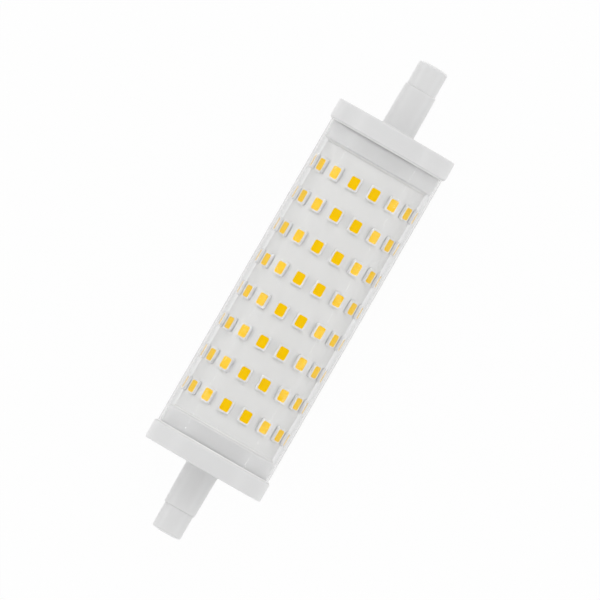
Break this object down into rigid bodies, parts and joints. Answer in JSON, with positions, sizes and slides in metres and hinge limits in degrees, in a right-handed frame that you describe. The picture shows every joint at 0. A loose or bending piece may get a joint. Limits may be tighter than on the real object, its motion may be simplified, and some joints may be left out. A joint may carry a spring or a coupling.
{
  "type": "linear led bulb",
  "caption": "Double-ended linear LED lamp: a clear tube over a white cylinder of LEDs, with a moulded cap and thin contact stem at each end.",
  "frame": {"origin": "centre of the lamp, halfway between its two end faces and on its axis", "axes": "+X along the lamp's axis towards the right end, +Z away from the LED board's seam"},
  "size_m": [0.118, 0.029, 0.029],
  "materials": {
    "clear_plastic": "clear",
    "cap_plastic": "satin",
    "base_plastic": "satin",
    "contact_metal": "plated",
    "lead_insulation": "smooth",
    "board_white": "matte",
    "spreader_metal": "satin",
    "sleeve_plastic": "satin",
    "driver_laminate": "matte",
    "moulded_black": "matte",
    "fuse_body": "matte",
    "varistor_coating": "smooth",
    "film_box": "smooth",
    "can_sleeve": "smooth",
    "ferrite": "matte",
    "red_insulation": "smooth",
    "black_insulation": "smooth",
    "package_white": "satin",
    "phosphor": "gloss"
  },
  "bodies": {
    "root": {"clear_tube": "clear_plastic", "led_board": "board_white", "heat_spreader": "spreader_metal", "insulating_sleeve": "sleeve_plastic", "driver_board": "driver_laminate", "output_lead_positive": "red_insulation", "output_lead_negative": "black_insulation", "end_cap_right": "cap_plastic", "end_cap_left": "cap_plastic", "base_sleeve_right": "base_plastic", "base_sleeve_left": "base_plastic", "contact_right": "contact_metal", "contact_left": "contact_metal", "supply_lead_right": "lead_insulation", "supply_lead_left": "lead_insulation", "fuse_resistor": "fuse_body", "varistor": "varistor_coating", "bridge_rectifier": "moulded_black", "film_capacitor": "film_box", "filter_choke": "ferrite", "bulk_capacitor": "can_sleeve", "driver_chip": "moulded_black", "freewheel_diode": "moulded_black", "sense_resistors": "moulded_black", "power_inductor": "ferrite", "led_bodies_ring_1": "package_white", "led_windows_ring_1": "phosphor", "led_bodies_ring_2": "package_white", "led_windows_ring_2": "phosphor", "led_bodies_ring_3": "package_white", "led_windows_ring_3": "phosphor", "led_bodies_ring_4": "package_white", "led_windows_ring_4": "phosphor", "led_bodies_ring_5": "package_white", "led_windows_ring_5": "phosphor", "led_bodies_ring_6": "package_white", "led_windows_ring_6": "phosphor", "led_bodies_ring_7": "package_white", "led_windows_ring_7": "phosphor", "led_bodies_ring_8": "package_white", "led_windows_ring_8": "phosphor"}
  },
  "joints": []
}
